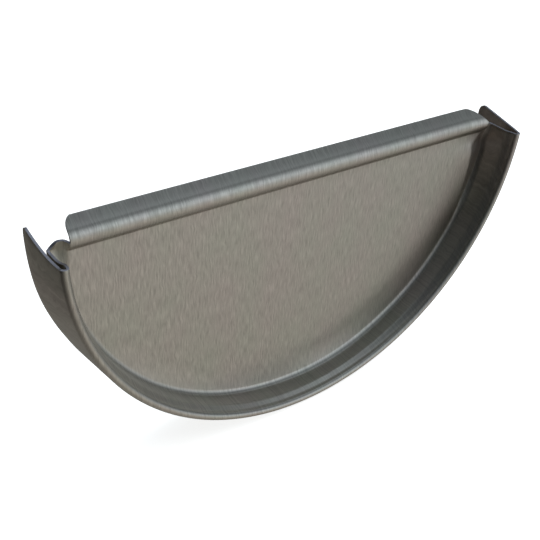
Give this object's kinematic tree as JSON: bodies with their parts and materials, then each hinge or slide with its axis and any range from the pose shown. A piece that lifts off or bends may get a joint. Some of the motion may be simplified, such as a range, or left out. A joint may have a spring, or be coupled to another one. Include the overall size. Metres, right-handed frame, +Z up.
{
  "type": "gutter end cap",
  "caption": "Half-round gutter end cap folded from one zinc sheet, with a recessed half-disc plate, a slot and flange for the gutter's end, and a rounded stiffening lip along the top.",
  "frame": {"origin": "centre of the gutter's half circle, in the plane of the slot's bottom, where the gutter's cut end stops", "axes": "+X across the gutter, +Y into the gutter, the way it leaves the slot, +Z up as fitted"},
  "size_m": [0.1584, 0.0192, 0.0815],
  "materials": {
    "zinc_sheet": "mill-finish rolled zinc, satin, with fine upright rolling grain"
  },
  "bodies": {
    "root": {"end_cap": "zinc_sheet"}
  },
  "joints": []
}
